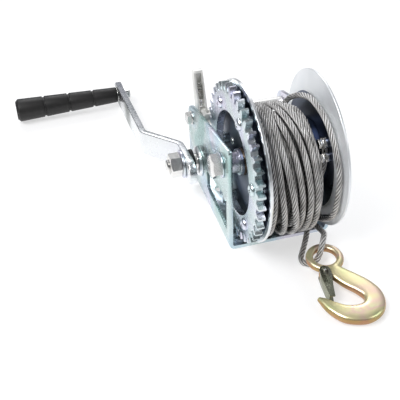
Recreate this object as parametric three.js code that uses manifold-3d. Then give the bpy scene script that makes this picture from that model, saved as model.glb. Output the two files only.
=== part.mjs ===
// Boat trailer hand winch: a bent sheet frame carries a rope drum with a big ring gear, a cranked
// handle drives the gear through a small pinion, a pawl holds the load, and the wire rope ends in a
// safety hook. Millimetres, +Z up. The drum axis runs along X, the open front of the frame is -Y.
// The origin is the middle of the underside of the frame's base.
import * as THREE from "three";
import { mergeVertices } from "three/addons/utils/BufferGeometryUtils.js";
import Module from "manifold-3d";

const wasm = await Module();
wasm.setup();

// ---- Driving dimensions -----------------------------------------------------------------------
// Positions below are measured from the frame's own corner: x from the left side plate's outer
// face, y from the front edge of the base, z from the underside of the base.
const FRAME_WIDTH = 86;
const FRAME_DEPTH = 97;
const SHEET = 3;
const BEND_RADIUS = 5;
const PLATE_FRONT_HEIGHT = 95;
const PLATE_REAR = 120;

const MODULE = 3;
const GEAR_TEETH = 41;
const PINION_TEETH = 10;
const PRESSURE_ANGLE = THREE.MathUtils.degToRad(20);
const BACKLASH = 0.5;
const GEAR_FACE = 6;
const GEAR_X = 9.1;
const GEAR_HOLE_RADIUS = 42;
const RIVET_COUNT = 6;
const RIVET_CIRCLE_RADIUS = 49;
const RIVET_START = THREE.MathUtils.degToRad(51.5);

const AXLE = { y: 21, z: 70 };
const CRANK = { y: 87.5, z: 31.6 };
const PIVOT = { y: 108, z: 64 };

const AXLE_RADIUS = 6;
const DRUM_X0 = 17.8;
const FLANGE_SHEET = 2.2;
const LEFT_FLANGE_RADIUS = 65.5;
const CORE_RADIUS = 27;
const CORE_WALL = 2.5;
const WEB_X = 74.8;
const RIM_X = 80.2;
const RIM_RADIUS = 64;
const WEB_RADIUS = 50;

const ROPE_DIAMETER = 4.8;
const PACK_RADIUS = 50;
const OUTER_TURN = { x: 71.8, radius: 50.4 };
const PACK_X = [21.3, 64.6];

const CRANKSHAFT_RADIUS = 7;
const THREAD_RADIUS = 6;
const ARM_WIDTH = 22.5;
const ARM_SHEET = 6;
const ARM_REACH = 175;
const ARM_FRONT = 15.5;
const ARM_TIP = 4;
const ARM_INNER_X = -12;
const ARM_OUTER_X = -38;
const ARM_BEND_START = 20;
const ARM_BEND_END = 55;
const ARM_BEND_RADIUS = 11;
const ARM_DROOP = THREE.MathUtils.degToRad(6.1);
const GRIP_X = [-143.6, -42];
const GRIP_NOSE = 2.4;
const GRIP_RADII = [11.6, 7.8];

const HOOK_EYE = { x: 64.6, y: -42.5, z: 8.9 };
const HOOK_TILT = THREE.MathUtils.degToRad(4);
const EYE_RADIUS = 12.3;
const EYE_WIRE_RADIUS = 3.1;
const LATCH_PIVOT = { x: -6.8, y: -15.8 };

const RUNNING_GAP = 0.3;
const ROUND = 20;

// ---- Materials --------------------------------------------------------------------------------
function metal(color, roughness, metalness = 0.9) {
  return new THREE.MeshStandardMaterial({ color, roughness, metalness });
}

const zinc = metal(0xc3ccd4, 0.32);
const darkZinc = metal(0x3c4358, 0.3);
const nickel = metal(0xd4d2cc, 0.25);
const blackSteel = metal(0x1c1c1f, 0.5);
const bronze = metal(0x9a7b62, 0.4);
const yellowZinc = metal(0xd8bf6a, 0.3);
const oliveZinc = metal(0x8a8b6c, 0.35);
const ropeWire = metal(0x9d978e, 0.45);
const springSteel = metal(0x9a9a9a, 0.3);
const gripPlastic = metal(0x161616, 0.55, 0);

// ---- Solid helpers ----------------------------------------------------------------------------
function toSolid(geometry) {
  const bare = geometry.clone();
  bare.deleteAttribute("normal");
  bare.deleteAttribute("uv");
  const merged = mergeVertices(bare, 1e-4);
  const vertProperties = new Float32Array(merged.attributes.position.array);
  const triVerts = new Uint32Array(merged.index.array);
  return new wasm.Manifold(new wasm.Mesh({ numProp: 3, vertProperties, triVerts }));
}

function toGeometry(solid) {
  const mesh = solid.getMesh();
  const geometry = new THREE.BufferGeometry();
  geometry.setAttribute("position", new THREE.BufferAttribute(mesh.vertProperties, 3));
  geometry.setIndex(new THREE.BufferAttribute(mesh.triVerts, 1));
  return geometry;
}

function join(...geometries) {
  const solids = geometries.map(toSolid);
  return toGeometry(solids.reduce((whole, piece) => whole.add(piece)));
}

function cut(geometry, ...tools) {
  const solids = tools.map(toSolid);
  return toGeometry(solids.reduce((whole, tool) => whole.subtract(tool), toSolid(geometry)));
}

function common(first, second) {
  return toGeometry(toSolid(first).intersect(toSolid(second)));
}

// A turned piece about the X axis: a closed loop of [x, radius] points.
function turned(loop, segments = ROUND) {
  const points = loop.map(([x, radius]) => new THREE.Vector2(radius, x));
  points.push(points[0].clone());
  return new THREE.LatheGeometry(points, segments).rotateZ(-Math.PI / 2);
}

function rod(x0, x1, radius, segments = ROUND) {
  const geometry = new THREE.CylinderGeometry(radius, radius, x1 - x0, segments);
  return geometry.rotateZ(-Math.PI / 2).translate((x0 + x1) / 2, 0, 0);
}

function tube(x0, x1, outer, inner, segments = ROUND) {
  return turned([[x0, inner], [x0, outer], [x1, outer], [x1, inner]], segments);
}

// A hexagon bar across flats, chamfered by a cone on the faces that are not against the work.
function hexHead(x0, x1, acrossFlats, chamferLow, chamferHigh) {
  const corner = acrossFlats / Math.sqrt(3);
  const bevel = acrossFlats * 0.07;
  const low = chamferLow ? acrossFlats / 2 - 0.2 : corner + bevel;
  const high = chamferHigh ? acrossFlats / 2 - 0.2 : corner + bevel;
  const crown = turned([
    [x0, 0],
    [x0, low],
    [x0 + bevel, corner + bevel * 0.2],
    [x1 - bevel, corner + bevel * 0.2],
    [x1, high],
    [x1, 0],
  ], 18);
  return common(rod(x0, x1, corner, 6), crown);
}

// A flat outline in the Y-Z plane, given a thickness along X.
function sidePlate(shape, x0, x1, curveSegments = 16) {
  const options = { depth: x1 - x0, bevelEnabled: false, curveSegments };
  const geometry = new THREE.ExtrudeGeometry(shape, options);
  const basis = new THREE.Matrix4().makeBasis(
    new THREE.Vector3(0, 1, 0),
    new THREE.Vector3(0, 0, 1),
    new THREE.Vector3(1, 0, 0),
  );
  return geometry.applyMatrix4(basis).translate(x0, 0, 0);
}

function shapeOf(points) {
  return new THREE.Shape(points.map(([y, z]) => new THREE.Vector2(y, z)));
}

function polar(radius, angle, centre = { y: 0, z: 0 }) {
  return [centre.y + radius * Math.cos(angle), centre.z + radius * Math.sin(angle)];
}

// A closed outline through corners given as [y, z, radius], each rounded to its own radius.
function roundedOutline(corners, steps = 4) {
  const points = [];
  corners.forEach(([y, z, radius], index) => {
    const before = corners[(index + corners.length - 1) % corners.length];
    const after = corners[(index + 1) % corners.length];
    if (radius === 0) {
      points.push([y, z]);
      return;
    }
    const corner = new THREE.Vector2(y, z);
    const toBefore = new THREE.Vector2(before[0], before[1]).sub(corner).normalize();
    const toAfter = new THREE.Vector2(after[0], after[1]).sub(corner).normalize();
    const halfAngle = Math.acos(THREE.MathUtils.clamp(toBefore.dot(toAfter), -1, 1)) / 2;
    const bisector = toBefore.clone().add(toAfter).normalize();
    const centre = corner.clone().addScaledVector(bisector, radius / Math.sin(halfAngle));
    const reach = radius / Math.tan(halfAngle);
    const start = corner.clone().addScaledVector(toBefore, reach).sub(centre);
    const end = corner.clone().addScaledVector(toAfter, reach).sub(centre);
    const sweep = Math.atan2(start.cross(end), start.dot(end));
    for (let step = 0; step <= steps; step += 1) {
      const turn = start.clone().rotateAround(new THREE.Vector2(), (sweep * step) / steps);
      points.push([centre.x + turn.x, centre.y + turn.y]);
    }
  });
  return points;
}

// A smooth solid skinned over rings of points, each ring a list of Vector3 in the same order.
function skin(rings) {
  const size = rings[0].length;
  const positions = rings.flat().flatMap((point) => [point.x, point.y, point.z]);
  const index = [];
  for (let ring = 0; ring < rings.length - 1; ring += 1) {
    for (let step = 0; step < size; step += 1) {
      const here = ring * size + step;
      const next = ring * size + ((step + 1) % size);
      index.push(here, next, here + size);
      index.push(next, next + size, here + size);
    }
  }
  const last = (rings.length - 1) * size;
  for (let step = 1; step < size - 1; step += 1) {
    index.push(0, step + 1, step);
    index.push(last, last + step, last + step + 1);
  }
  const geometry = new THREE.BufferGeometry();
  geometry.setAttribute("position", new THREE.Float32BufferAttribute(positions, 3));
  geometry.setIndex(index);
  return geometry;
}

function ropeAlong(points, diameter, steps, sides = 10) {
  const curve = new THREE.CatmullRomCurve3(points.map((point) => new THREE.Vector3(...point)));
  const section = new THREE.Shape();
  for (let side = 0; side < sides; side += 1) {
    const angle = (2 * Math.PI * side) / sides;
    const x = (diameter / 2) * Math.cos(angle);
    const y = (diameter / 2) * Math.sin(angle);
    if (side === 0) section.moveTo(x, y);
    else section.lineTo(x, y);
  }
  return new THREE.ExtrudeGeometry(section, { steps, extrudePath: curve, bevelEnabled: false });
}

// ---- Scene graph ------------------------------------------------------------------------------
const group = new THREE.Group();
const winch = new THREE.Group();
winch.position.set(-FRAME_WIDTH / 2, -FRAME_DEPTH / 2, 0);
group.add(winch);

function addPart(name, geometry, material, parent = winch) {
  const mesh = new THREE.Mesh(geometry, material);
  mesh.name = name;
  parent.add(mesh);
  return mesh;
}

function axisGroup(centre) {
  const holder = new THREE.Group();
  holder.position.set(0, centre.y, centre.z);
  winch.add(holder);
  return holder;
}

const onAxle = axisGroup(AXLE);
const onCrank = axisGroup(CRANK);
const onPivot = axisGroup(PIVOT);

// ---- Frame ------------------------------------------------------------------------------------
function frameSection() {
  const right = FRAME_WIDTH;
  const top = PLATE_FRONT_HEIGHT + 5;
  const inner = BEND_RADIUS - SHEET;
  const outline = roundedOutline([
    [0, top, 0],
    [0, 0, BEND_RADIUS],
    [right, 0, BEND_RADIUS],
    [right, top, 0],
    [right - SHEET, top, 0],
    [right - SHEET, SHEET, inner],
    [SHEET, SHEET, inner],
    [SHEET, top, 0],
  ]);
  const options = { depth: PLATE_REAR + 10, bevelEnabled: false };
  return new THREE.ExtrudeGeometry(shapeOf(outline), options)
    .rotateX(Math.PI / 2)
    .translate(0, PLATE_REAR + 5, 0);
}

function sideOutline() {
  return shapeOf(roundedOutline([
    [0, 0, 0],
    [FRAME_DEPTH, 0, 2],
    [PLATE_REAR, 23, 8],
    [PLATE_REAR, 71.5, 12],
    [97, 77.5, 8],
    [0, PLATE_FRONT_HEIGHT, 3],
  ]));
}

function windowOutline() {
  return shapeOf(roundedOutline([[8, 14, 3], [65, 18, 4], [65, 36, 4], [8, 47, 3]], 3));
}

function mountingSlot(x, y) {
  const half = 5.5;
  const slot = new THREE.Shape();
  slot.absarc(x + half, y, 5, -Math.PI / 2, Math.PI / 2, false);
  slot.absarc(x - half, y, 5, Math.PI / 2, (3 * Math.PI) / 2, false);
  const options = { depth: SHEET + 4, bevelEnabled: false, curveSegments: 6 };
  return new THREE.ExtrudeGeometry(slot, options).translate(0, 0, -2);
}

function frame() {
  const blank = common(frameSection(), sidePlate(sideOutline(), -2, FRAME_WIDTH + 2));
  const across = [-3, FRAME_WIDTH + 3];
  const hole = (centre, radius) => rod(...across, radius).translate(0, centre.y, centre.z);
  const slots = [];
  for (const x of [22, FRAME_WIDTH - 22]) {
    for (const y of [12, FRAME_DEPTH - 16]) slots.push(mountingSlot(x, y));
  }
  return cut(
    blank,
    sidePlate(windowOutline(), ...across),
    hole(AXLE, AXLE_RADIUS + RUNNING_GAP),
    hole(CRANK, 10 + RUNNING_GAP),
    hole(PIVOT, 3 + RUNNING_GAP),
    ...slots,
  );
}

function addFrame() {
  addPart("frame", frame(), zinc);
}

// ---- Drum axle, fixed in the frame ------------------------------------------------------------
function addAxle() {
  const right = FRAME_WIDTH;
  const head = hexHead(-10, -2.4, 19, true, false);
  addPart("axle_bolt", join(head, rod(-2.5, right + 16, AXLE_RADIUS)), nickel, onAxle);
  addPart("axle_head_washer", tube(-2.2, -0.1, 11.6, 6.5), darkZinc, onAxle);
  addPart("axle_nut_washer", tube(right + 0.1, right + 2.3, 12, 6.5), nickel, onAxle);
  const nut = cut(hexHead(right + 2.6, right + 12.6, 19, false, true), rod(80, 110, 6.4));
  addPart("axle_nut", nut, nickel, onAxle);
  const leftSleeve = [[3.1, 6.5], [3.1, 8.6], [13.2, 8.6], [13.2, 10.6], [16.4, 10.6], [16.4, 6.5]];
  addPart("axle_sleeve_left", turned(leftSleeve), zinc, onAxle);
  addPart("axle_sleeve_right", tube(79.8, right - SHEET - 0.1, 9, 6.5), zinc, onAxle);
}

// ---- Drum, turning on the axle ----------------------------------------------------------------
function involute(angle) {
  return Math.tan(angle) - angle;
}

// Involute spur teeth; tooth 0 is centred on the angle `phase` in the Y-Z plane.
function gearOutline(teeth, tipRadius, rootRadius, phase, flankSteps) {
  const pitchRadius = (teeth * MODULE) / 2;
  const baseRadius = pitchRadius * Math.cos(PRESSURE_ANGLE);
  const halfAtPitch = Math.PI / (2 * teeth) - BACKLASH / (2 * pitchRadius);
  const halfAngle = (radius) => {
    const pressure = Math.acos(Math.min(1, baseRadius / radius));
    return halfAtPitch + involute(PRESSURE_ANGLE) - involute(pressure);
  };
  const start = Math.max(rootRadius, baseRadius);
  const radii = [rootRadius];
  for (let step = 0; step <= flankSteps; step += 1) {
    radii.push(start + ((tipRadius - start) * step) / flankSteps);
  }
  if (start === rootRadius) radii.shift();
  const points = [];
  for (let tooth = 0; tooth < teeth; tooth += 1) {
    const centre = phase + (2 * Math.PI * tooth) / teeth;
    for (const radius of radii) points.push(polar(radius, centre - halfAngle(radius)));
    for (const radius of [...radii].reverse()) points.push(polar(radius, centre + halfAngle(radius)));
  }
  return shapeOf(points);
}

const MESH_ANGLE = Math.atan2(CRANK.z - AXLE.z, CRANK.y - AXLE.y);

function ringGear() {
  const pitchRadius = (GEAR_TEETH * MODULE) / 2;
  const outline = gearOutline(GEAR_TEETH, pitchRadius + 2.9, pitchRadius - 3.7, MESH_ANGLE, 2);
  const blank = sidePlate(outline, GEAR_X, GEAR_X + GEAR_FACE);
  const holes = rivetAngles().map((angle) => {
    const [y, z] = polar(RIVET_CIRCLE_RADIUS, angle);
    return rod(0, 30, 3.4, 8).translate(0, y, z);
  });
  return cut(blank, rod(0, 30, GEAR_HOLE_RADIUS, 40), ...holes);
}

function rivetAngles() {
  const angles = [];
  for (let count = 0; count < RIVET_COUNT; count += 1) {
    angles.push(RIVET_START + (2 * Math.PI * count) / RIVET_COUNT);
  }
  return angles;
}

// One rivet: domed head on the gear, a collar that spaces gear and flange, and a formed tail.
function rivet() {
  const gearFront = GEAR_X - 0.1;
  const gearBack = GEAR_X + GEAR_FACE + 0.1;
  const flangeFront = DRUM_X0 - 0.1;
  const flangeBack = DRUM_X0 + FLANGE_SHEET + 0.1;
  return turned([
    [gearFront - 2.2, 0],
    [gearFront - 2.2, 2.6],
    [gearFront - 1.4, 4.4],
    [gearFront, 5],
    [gearFront, 3],
    [gearBack, 3],
    [gearBack, 5],
    [flangeFront, 5],
    [flangeFront, 3],
    [flangeBack, 3],
    [flangeBack, 4],
    [flangeBack + 0.8, 4],
    [flangeBack + 0.8, 0],
  ], 8);
}

function leftFlange() {
  const disc = tube(DRUM_X0, DRUM_X0 + FLANGE_SHEET, LEFT_FLANGE_RADIUS, 11.2, 40);
  const holes = rivetAngles().map((angle) => {
    const [y, z] = polar(RIVET_CIRCLE_RADIUS, angle);
    return rod(10, 30, 3.4, 8).translate(0, y, z);
  });
  return cut(disc, ...holes);
}

function rightFlange() {
  const sheet = FLANGE_SHEET;
  return turned([
    [WEB_X, 11.2],
    [WEB_X, WEB_RADIUS],
    [RIM_X - 1, RIM_RADIUS - 2],
    [RIM_X - 0.6, RIM_RADIUS],
    [RIM_X + 1.6, RIM_RADIUS - 0.6],
    [RIM_X + 1, RIM_RADIUS - 2.8],
    [WEB_X + sheet + 0.2, WEB_RADIUS - 1],
    [WEB_X + sheet, 11.2],
  ], 40);
}

function clampPlate() {
  const outline = shapeOf(roundedOutline([[-9, -4.5, 2], [9, -4.5, 2], [9, 4.5, 2], [-9, 4.5, 2]], 2));
  const blank = sidePlate(outline, WEB_X - 4.2, WEB_X - 0.1, 6);
  const holes = [-5.5, 5.5].map((y) => rod(50, 80, 2.3, 10).translate(0, y, 0));
  const groove = rod(-20, 20, 2.6, 12).rotateY(Math.PI / 2).translate(WEB_X - 1.2, 0, 0);
  return cut(blank, groove, ...holes);
}

function addRopeClamp() {
  const holder = new THREE.Group();
  const angle = THREE.MathUtils.degToRad(150);
  const [y, z] = polar(37.5, angle);
  holder.position.set(0, y, z);
  holder.rotation.x = angle + Math.PI / 2;
  onAxle.add(holder);
  addPart("rope_clamp", clampPlate(), nickel, holder);
  [-5.5, 5.5].forEach((offset, index) => {
    const head = hexHead(WEB_X - 7.4, WEB_X - 4.5, 7, true, false);
    const screw = join(head, rod(WEB_X - 4.6, WEB_X - 0.3, 2, 12));
    addPart(`clamp_screw_${index + 1}`, screw, nickel, holder).position.y = offset;
  });
}

// The one turn of rope that has slipped past the others, against the right flange.
function outerTurn() {
  const loop = [];
  for (let step = 0; step < 6; step += 1) {
    const angle = (2 * Math.PI * step) / 6;
    const out = ROPE_DIAMETER / 2;
    loop.push([OUTER_TURN.x - out * Math.cos(angle), OUTER_TURN.radius + out * Math.sin(angle)]);
  }
  return turned(loop, 36);
}

function addDrum() {
  addPart("ring_gear", ringGear(), zinc, onAxle);
  addPart("left_flange", leftFlange(), darkZinc, onAxle);
  addPart("right_flange", rightFlange(), zinc, onAxle);
  const coreX = [DRUM_X0 + FLANGE_SHEET + 0.1, WEB_X - 0.1];
  addPart("drum_core", tube(...coreX, CORE_RADIUS, CORE_RADIUS - CORE_WALL), darkZinc, onAxle);
  const bushLeft = [[16.6, 6.4], [16.6, 10.9], [36, 10.9], [36, 6.4]];
  const bushRight = [[60, 6.4], [60, 10.9], [79.5, 10.9], [79.5, 6.4]];
  addPart("drum_bush_left", turned(bushLeft), bronze, onAxle);
  addPart("drum_bush_right", turned(bushRight), bronze, onAxle);
  rivetAngles().forEach((angle, index) => {
    const [y, z] = polar(RIVET_CIRCLE_RADIUS, angle);
    addPart(`gear_rivet_${index + 1}`, rivet(), nickel, onAxle).position.set(0, y, z);
  });
  addRopeClamp();
  addPart("rope_wraps", tube(...PACK_X, PACK_RADIUS, CORE_RADIUS + 0.4, 40), ropeWire, onAxle);
  addPart("rope_outer_turn", outerTurn(), ropeWire, onAxle);
}

// ---- Crank, turning in the frame --------------------------------------------------------------
function pinion() {
  const pitchRadius = (PINION_TEETH * MODULE) / 2;
  const phase = MESH_ANGLE + Math.PI + Math.PI / PINION_TEETH;
  const outline = gearOutline(PINION_TEETH, pitchRadius + 2.6, pitchRadius - 4, phase, 2);
  const blank = sidePlate(outline, GEAR_X - 1.2, GEAR_X + GEAR_FACE + 1.2);
  return cut(blank, rod(0, 30, CRANKSHAFT_RADIUS + RUNNING_GAP));
}

// One bend of the arm seen from above, as points on its middle line with the turn at each.
function armBend(centre, radius, from, to) {
  const points = [];
  for (let step = 0; step <= 5; step += 1) {
    const turn = THREE.MathUtils.lerp(from, to, step / 5);
    const x = centre.x + radius * Math.cos(turn);
    const s = centre.s + radius * Math.sin(turn);
    points.push({ x, s, turn });
  }
  return points;
}

// The arm's middle line seen from above: x, and the distance s from the shaft.
function armLine() {
  const slope = Math.atan2(ARM_INNER_X - ARM_OUTER_X, ARM_BEND_END - ARM_BEND_START);
  const reach = ARM_BEND_RADIUS * Math.tan(slope / 2);
  const inner = { x: ARM_INNER_X - ARM_BEND_RADIUS, s: ARM_BEND_START - reach };
  const outer = { x: ARM_OUTER_X + ARM_BEND_RADIUS, s: ARM_BEND_END + reach };
  return [
    { x: ARM_INNER_X, s: -40, turn: 0 },
    ...armBend(inner, ARM_BEND_RADIUS, 0, slope),
    ...armBend(outer, -ARM_BEND_RADIUS, slope, 0),
    { x: ARM_OUTER_X, s: ARM_REACH + 40, turn: 0 },
  ];
}

function armBar() {
  const side = (offset) => armLine().map(({ x, s, turn }) => {
    return [x + offset * Math.cos(turn), s + offset * Math.sin(turn)];
  });
  const outline = [...side(ARM_SHEET / 2), ...side(-ARM_SHEET / 2).reverse()];
  const options = { depth: ARM_WIDTH, bevelEnabled: false };
  const bar = new THREE.ExtrudeGeometry(shapeOf(outline), options).translate(0, 0, -ARM_WIDTH / 2);
  const ends = new THREE.Shape();
  ends.absarc(ARM_REACH + ARM_TIP, 0, ARM_WIDTH / 2 - 0.01, -Math.PI / 2, Math.PI / 2, false);
  ends.absarc(-ARM_FRONT, 0, ARM_WIDTH / 2 - 0.01, Math.PI / 2, (3 * Math.PI) / 2, false);
  return common(bar, sidePlate(ends, -60, 10, 10));
}

function crankArm() {
  const gripHole = rod(-60, -20, 4.3, 16).translate(0, ARM_REACH, 0);
  return cut(armBar(), rod(-30, 10, THREAD_RADIUS + RUNNING_GAP), gripHole);
}

function grip() {
  const [outerX, innerX] = GRIP_X;
  const length = innerX - outerX;
  const radiusAt = (x) => THREE.MathUtils.lerp(...GRIP_RADII, (x - outerX) / length);
  const nose = outerX - GRIP_NOSE;
  const loop = [[nose, 7.4], [nose, GRIP_RADII[0] - 2.8], [outerX + 0.4, radiusAt(outerX)]];
  for (let groove = 1; groove <= 3; groove += 1) {
    const x = outerX + (length * groove) / 4 + 1;
    loop.push([x - 1.4, radiusAt(x)], [x - 0.6, radiusAt(x) - 1]);
    loop.push([x + 0.6, radiusAt(x) - 1], [x + 1.4, radiusAt(x)]);
  }
  loop.push([innerX - 1, radiusAt(innerX)], [innerX, radiusAt(innerX) - 0.8]);
  loop.push([innerX, 4.5], [outerX + 14, 4.5], [outerX + 14, 7.4]);
  return turned(loop, 16);
}

function addCrank() {
  const right = FRAME_WIDTH;
  const shaft = turned([
    [-30, 0],
    [-30, 5.2],
    [-29, THREAD_RADIUS],
    [-8.8, THREAD_RADIUS],
    [-8.8, CRANKSHAFT_RADIUS],
    [right + 3.4, CRANKSHAFT_RADIUS],
    [right + 3.4, 5.8],
    [right + 4.8, 5.8],
    [right + 4.8, CRANKSHAFT_RADIUS],
    [right + 6.4, CRANKSHAFT_RADIUS],
    [right + 7, 6.4],
    [right + 7, 0],
  ]);
  const arm = new THREE.Group();
  arm.rotation.x = -ARM_DROOP;
  onCrank.add(arm);
  addPart("crankshaft", shaft, nickel, onCrank);
  addPart("pinion", pinion(), nickel, onCrank);
  addPart("crank_arm", crankArm(), zinc, arm);
  const nutHole = rod(-40, 0, THREAD_RADIUS + 0.2);
  addPart("crank_nut", cut(hexHead(-27.4, -17.6, 19, true, false), nutHole), nickel, arm);
  addPart("crank_washer", tube(-17.3, -15.3, 12.6, 6.4), zinc, onCrank);
  addPart("crank_spacer", tube(-8.5, -5.6, 11.6, 7.3), blackSteel, onCrank);
  addPart("crankshaft_clip", clipRing().translate(right + 3.6, 0, 0), springSteel, onCrank);
  const gripEnd = new THREE.Group();
  gripEnd.position.set(0, ARM_REACH, 0);
  arm.add(gripEnd);
  const head = turned([[-137, 0], [-137, 4], [-135.6, 6.4], [-130.6, 6.4], [-130.6, 0]], 16);
  addPart("grip_bolt", join(head, rod(-131, -27.6, 4, 16)), nickel, gripEnd);
  addPart("grip_washer", tube(-41.7, -41.1, 7.4, 4.3, 16), nickel, gripEnd);
  addPart("grip_nut", cut(hexHead(-34.7, -28.4, 13, false, true), rod(-50, 0, 4.2, 16)), nickel, gripEnd);
  addPart("grip", grip(), gripPlastic, gripEnd);
}

// An open retaining ring in the shaft's groove.
function clipRing() {
  const ring = tube(0, 1, 9.4, 6.1);
  const gap = new THREE.BoxGeometry(4, 12, 5).translate(0, 9, 0);
  return cut(ring, gap);
}

function addCrankBushes() {
  const right = FRAME_WIDTH;
  const inner = CRANKSHAFT_RADIUS + RUNNING_GAP;
  const left = [[-3, inner], [-3, 12.2], [-2.2, 13.4], [-0.1, 13.4], [-0.1, 10], [5.5, 10], [5.5, inner]];
  const mirrored = left.map(([x, radius]) => [right - x, radius]).reverse();
  addPart("crank_bush_left", turned(left), nickel, onCrank);
  addPart("crank_bush_right", turned(mirrored), nickel, onCrank);
}

// ---- Ratchet: pawl and change-over lever on the tie bolt ----------------------------------------
const PAWL_HUB_RADIUS = 8;
const LEVER_LEAN = THREE.MathUtils.degToRad(18);
const LEVER_LENGTH = 41;
const LEVER_X = [5.4, 13.4];
const LEVER_SHEET = 1.5;

function pawl() {
  const nose = shapeOf(roundedOutline([
    [-10.5, 3, 1],
    [-22.2, 16.2, 1],
    [-21.4, 7.6, 0.6],
    [-17, 3.4, 3],
    [-10.9, -3.4, 1],
  ], 3));
  const arm = shapeOf(roundedOutline([[-13, 5, 1], [0, 7.9, 0], [0, -7.9, 0], [-13, -3, 1]], 3));
  const hub = rod(7.4, 11.4, PAWL_HUB_RADIUS);
  const solid = join(hub, sidePlate(arm, 7.4, 11.4), sidePlate(nose, 7.4, 15));
  return cut(solid, rod(0, 20, 3.3, 16));
}

function ratchetLever() {
  const [x0, x1] = LEVER_X;
  const outline = shapeOf(roundedOutline([
    [-6, -8, 5],
    [6, -8, 4],
    [6.5, 14, 4],
    [4.4, LEVER_LENGTH, 2.6],
    [-3.6, LEVER_LENGTH, 3.4],
    [-5.5, 12, 4],
  ], 4));
  const inside = [x0 + LEVER_SHEET, x1 - LEVER_SHEET];
  const top = LEVER_LENGTH - 3;
  const hollow = shapeOf([[-9, -12], [9, -12], [9, 9.5], [4.6, 14], [2.6, top], [-9, top]]);
  return cut(
    sidePlate(outline, x0, x1),
    sidePlate(hollow, ...inside),
    rod(0, 20, 3.3, 16),
  );
}

function leverSpring() {
  const turns = 6;
  const pitch = 2.1;
  const points = [];
  for (let step = 0; step <= turns * 8; step += 1) {
    const angle = (2 * Math.PI * step) / 8;
    const x = 9.4 + 1.6 * Math.cos(angle);
    const y = -1.2 + 1.6 * Math.sin(angle);
    points.push([x, y, 17 + (pitch * step) / 8]);
  }
  return ropeAlong(points, 0.9, turns * 7, 4);
}

function addRatchet() {
  const right = FRAME_WIDTH;
  const head = hexHead(-5.2, -1.2, 10, true, false);
  addPart("tie_bolt", join(head, rod(-1.3, right + 8, 3, 16)), nickel, onPivot);
  addPart("tie_bolt_washer", tube(-1, -0.1, 6.2, 3.3, 16), nickel, onPivot);
  const nut = cut(hexHead(right + 0.3, right + 5.3, 10, false, true), rod(80, 100, 3.2, 16));
  addPart("tie_nut", nut, nickel, onPivot);
  addPart("tie_spacer", tube(13.8, right - SHEET - 0.1, 5.6, 3.4), nickel, onPivot);
  addPart("pawl_spacer", tube(3.1, 5.1, 6, 3.4, 16), zinc, onPivot);
  addPart("pawl", pawl(), nickel, onPivot);
  const lever = new THREE.Group();
  lever.rotation.x = -LEVER_LEAN;
  onPivot.add(lever);
  addPart("ratchet_lever", ratchetLever(), nickel, lever);
  addPart("lever_plunger", plunger(), nickel, lever);
  addPart("lever_spring", leverSpring(), springSteel, lever);
}

// The sprung plunger in the lever that presses on the pawl's hub.
function plunger() {
  const profile = [[9, 0], [9, 1.3], [10, 2.3], [15.4, 2.3], [15.4, 0]];
  return turned(profile, 12).rotateY(-Math.PI / 2).translate(9.4, -1.2, 0);
}

// ---- Rope tail and eye --------------------------------------------------------------------------
const FERRULE = { x: 71.2, y0: 8.5, y1: 25.5, z: 7.8, radius: 4.4 };

function addRopeTail() {
  const tail = [
    [65.8, 50, 25],
    [66.2, 44, 19.6],
    [67.6, 37.5, 14.2],
    [69.6, 31.5, 10.2],
    [71, 28, 8.1],
    [71.2, 26.1, 7.8],
  ];
  addPart("rope_tail", ropeAlong(tail, ROPE_DIAMETER, 6, 8), ropeWire);
  const eye = [
    [69, 7.7, 7.4],
    [68, 3, 6.7],
    [65.4, -4, 6.2],
    [61.2, -12, 5.6],
    [56.4, -20, 4.8],
    [52.2, -26.4, 3.9],
    [49.6, -31.4, 3.1],
    [49.9, -36, 2.7],
    [53.4, -38.8, 2.6],
    [57.4, -38.8, 3.4],
    [61.2, -38, 6.8],
    [64.2, -35.7, 13],
    [67.8, -30.6, 17.2],
    [71.8, -23, 16.2],
    [74.3, -14.4, 12],
    [75.1, -6, 8.4],
    [74.4, 1, 7],
    [73.4, 7.7, 7.4],
  ];
  addPart("rope_eye", ropeAlong(eye, ROPE_DIAMETER, 32, 7), ropeWire);
  const length = FERRULE.y1 - FERRULE.y0;
  const { radius } = FERRULE;
  const profile = [[0, 0], [0, 3.6], [1, radius], [length - 1, radius], [length, 3.6], [length, 0]];
  const sleeve = turned(profile, 16);
  addPart("rope_ferrule", sleeve.rotateZ(Math.PI / 2), nickel)
    .position.set(FERRULE.x, FERRULE.y0, FERRULE.z);
}

// ---- Safety hook --------------------------------------------------------------------------------
// The hook lies flat: x across it, y along it (the bowl is towards -y), z through its thickness.
function hookBody() {
  const stations = [
    { x: 0.4, y: -11, half: 5.6, thick: 3.3 },
    { x: 2.2, y: -17.5, half: 6.4, thick: 3.5 },
    { x: 8.2, y: -27, half: 7.1, thick: 3.6 },
    { x: 15.8, y: -36.8, half: 6.6, thick: 3.9 },
    { x: 20.4, y: -47.4, half: 6.1, thick: 4.1 },
    { x: 16.6, y: -58.6, half: 7.3, thick: 4.3 },
    { x: 5.6, y: -63.4, half: 8.2, thick: 4.4 },
    { x: -6.8, y: -59.6, half: 7.6, thick: 4.2 },
    { x: -14.4, y: -50.6, half: 5.6, thick: 3.7 },
    { x: -18.6, y: -42.4, half: 3.4, thick: 2.9 },
    { x: -21.4, y: -38.2, half: 1.4, thick: 1.8 },
  ];
  const line = new THREE.CatmullRomCurve3(stations.map(({ x, y }) => new THREE.Vector3(x, y, 0)));
  const sizes = new THREE.CatmullRomCurve3(
    stations.map(({ half, thick }, index) => new THREE.Vector3(half, thick, index)),
  );
  const rings = [];
  const steps = 18;
  for (let step = 0; step <= steps; step += 1) {
    const centre = line.getPoint(step / steps);
    const along = line.getTangent(step / steps);
    const size = sizes.getPoint(step / steps);
    rings.push(hookRing(centre, along, size.x, size.y));
  }
  return skin(rings);
}

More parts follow.
